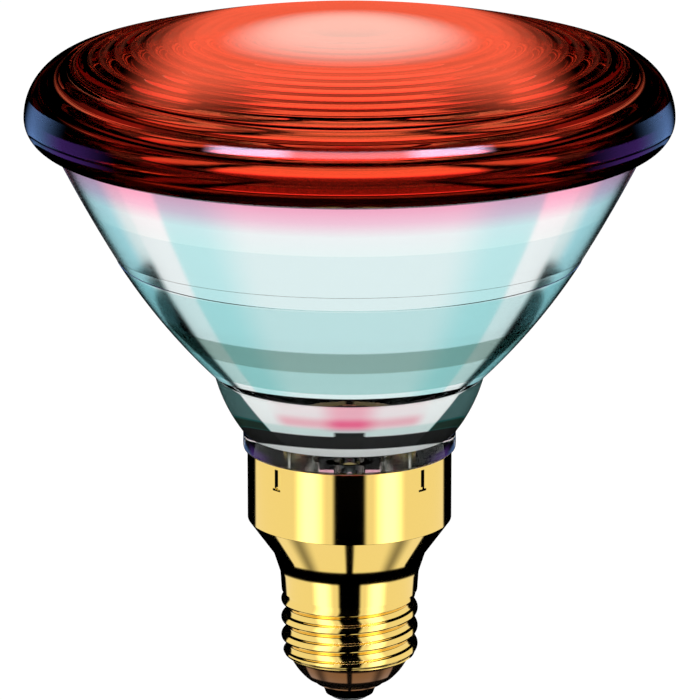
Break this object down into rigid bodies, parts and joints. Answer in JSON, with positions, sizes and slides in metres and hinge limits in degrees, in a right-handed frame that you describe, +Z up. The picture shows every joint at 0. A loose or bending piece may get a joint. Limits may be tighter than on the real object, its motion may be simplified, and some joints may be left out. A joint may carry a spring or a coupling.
{
  "type": "infrared heat lamp bulb",
  "caption": "Infrared reflector heat lamp: a domed ruby glass lens on a clear flared glass body with a mirror coat inside, and a brass screw cap with a wide skirt.",
  "frame": {"origin": "tip of the centre contact, on the lamp's axis", "axes": "+Z up the lamp's axis from the cap to the lens; X through the two lead posts"},
  "size_m": [0.1222, 0.1222, 0.1334],
  "materials": {
    "ruby_glass": "pressed glass, ruby red, smooth outside and ringed inside",
    "clear_glass": "pressed clear glass; the reflector has an aluminium mirror coat inside, down to the well",
    "brass": "bright drawn brass",
    "black_glass": "glossy black glass",
    "solder": "dull grey solder",
    "nickel": "bright drawn nickel wire and sheet",
    "tungsten": "dark grey coiled wire",
    "copper": "bare copper wire"
  },
  "bodies": {
    "root": {"lens": "ruby_glass", "reflector": "clear_glass", "exhaust_tube": "clear_glass", "cap_skirt": "brass", "screw_shell": "brass", "insulator": "black_glass", "contact_plate": "brass", "tip_solder": "solder", "ferrule_left": "nickel", "ferrule_right": "nickel", "braze_left": "solder", "braze_right": "solder", "lead_post_left": "nickel", "lead_post_right": "nickel", "filament": "tungsten", "support_bead": "clear_glass", "filament_support": "nickel", "centre_wire": "copper", "side_wire": "copper", "side_solder": "solder"}
  },
  "joints": []
}
